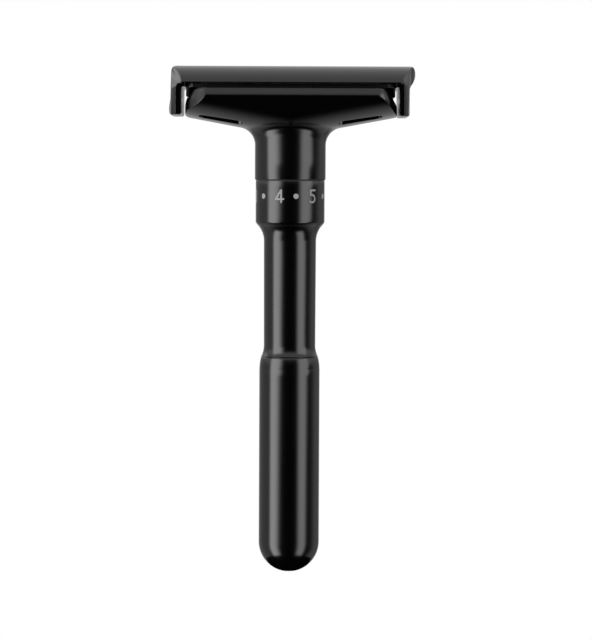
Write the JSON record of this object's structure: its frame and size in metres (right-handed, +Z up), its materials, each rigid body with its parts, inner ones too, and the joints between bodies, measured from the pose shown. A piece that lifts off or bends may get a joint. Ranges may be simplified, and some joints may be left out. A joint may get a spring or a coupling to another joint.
{
  "type": "adjustable safety razor",
  "caption": "Adjustable double-edge safety razor with a push-on arched cap, fixed guard head, numbered dial and a twist handle that raises the blade tray.",
  "frame": {"origin": "centre of the small flat at the bottom of the grip, on the axis of the handle", "axes": "+Z up the handle to the head, +X along the blade to the right, -Y the front face where the dial shows 4 and 5 at rest"},
  "size_m": [0.0523, 0.0246, 0.108],
  "materials": {
    "black_coat": "satin black coating over cast metal",
    "tray_coat": "satin black coating, slightly smoother",
    "mark_paint": "matt light grey paint filled in engraved marks",
    "steel": "turned stainless steel",
    "spring_steel": "drawn spring steel",
    "blade_steel": "ground and polished stainless strip",
    "brass": "turned brass",
    "rubber": "matt black nitrile",
    "polymer": "black low-friction polymer"
  },
  "bodies": {
    "head": {"guard": "black_coat", "index_mark": "mark_paint", "thrust_washer": "polymer", "stop_pin": "steel", "return_spring": "spring_steel"},
    "handle": {"dial_sleeve": "black_coat", "dial_numerals": "mark_paint", "drive_nut": "brass", "nut_circlip": "spring_steel", "retaining_ring": "spring_steel", "spring_washer": "spring_steel", "friction_ring": "rubber", "grip": "black_coat", "grip_stud": "steel", "grip_seal": "rubber"},
    "tray": {"blade_tray": "tray_coat", "drive_post": "steel", "tray_screw": "steel", "guide_pins": "steel", "catch_spring": "spring_steel", "catch_rivets": "steel"},
    "blade": {"blade": "blade_steel"},
    "cap": {"cap": "black_coat", "cap_studs": "steel"}
  },
  "joints": [
    {"name": "handle_twist", "type": "hinge", "parent": "head", "child": "handle", "pos_m": [0, 0, 0.0837], "axis": [0, 0, 1], "range_deg": [-278.8, 21.2]},
    {"name": "tray_rise", "type": "slide", "parent": "head", "child": "tray", "axis": [0, 0, 1], "range_m": [-0.00009, 0.00116], "deforming": ["return_spring"]},
    {"name": "cap_lift", "type": "slide", "parent": "tray", "child": "cap", "axis": [0, 0, 1], "range_m": [0, 0.018], "deforming": ["catch_spring"]},
    {"name": "blade_lift", "type": "slide", "parent": "tray", "child": "blade", "axis": [0, 0, 1], "range_m": [0, 0.009]}
  ],
  "couplings": [
    {"joint": "handle_twist", "follows": "tray_rise", "rad_per_m": -4188.8},
    {"joint": "blade_lift", "follows": "cap_lift", "ratio": 0.5}
  ]
}
